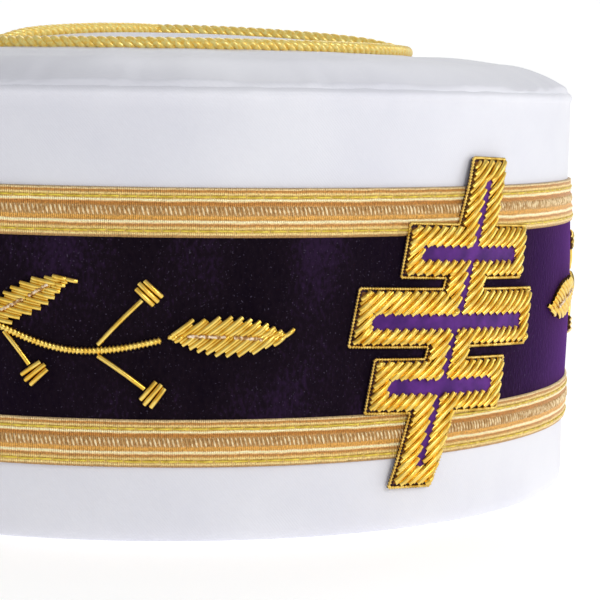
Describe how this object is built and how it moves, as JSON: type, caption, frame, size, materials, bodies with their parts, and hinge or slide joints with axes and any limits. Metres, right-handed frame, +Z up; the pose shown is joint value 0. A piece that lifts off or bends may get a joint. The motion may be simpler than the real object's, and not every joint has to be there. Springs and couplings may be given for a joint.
{
  "type": "ceremonial crown cap",
  "caption": "Round stiff-walled ceremonial cap with a low domed crown, velvet band between two gold laces, an embroidered barred cross and gold leaf sprays.",
  "frame": {"origin": "centre of the rim that the cap stands on, at the surface", "axes": "+Z up to the crown, -Y towards the front that carries the cross, +X to the viewer's right when facing the cross"},
  "size_m": [0.1914, 0.1996, 0.1019],
  "materials": {
    "white_satin": "stiffened white satin, soft sheen",
    "purple_velvet": "deep purple velvet pile",
    "purple_satin": "purple satin inlay",
    "gold_lace": "woven metallic lace, ribbed",
    "gold_bullion": "coiled gilt bullion wire",
    "gold_cord": "twisted metallic cord"
  },
  "bodies": {
    "root": {"side_wall": "white_satin", "crown_top": "white_satin", "velvet_band": "purple_velvet", "upper_lace": "gold_lace", "lower_lace": "gold_lace", "cross_ground": "gold_lace", "cross_edging": "gold_bullion", "cross_bullion": "gold_bullion", "cross_core": "purple_satin", "left_spray_stem": "gold_bullion", "right_spray_stem": "gold_bullion", "crown_ring_cord": "gold_cord", "crown_spoke_cord_0": "gold_cord", "crown_spoke_cord_1": "gold_cord", "crown_spoke_cord_2": "gold_cord", "left_spray_leaf_0": "gold_bullion", "left_spray_leaf_1": "gold_bullion", "left_spray_leaf_2": "gold_bullion", "left_spray_leaf_3": "gold_bullion", "left_spray_leaf_4": "gold_bullion", "left_spray_leaf_5": "gold_bullion", "left_spray_leaf_6": "gold_bullion", "right_spray_leaf_0": "gold_bullion", "right_spray_leaf_1": "gold_bullion", "right_spray_leaf_2": "gold_bullion", "right_spray_leaf_3": "gold_bullion", "right_spray_leaf_4": "gold_bullion", "right_spray_leaf_5": "gold_bullion", "right_spray_leaf_6": "gold_bullion"}
  },
  "joints": []
}
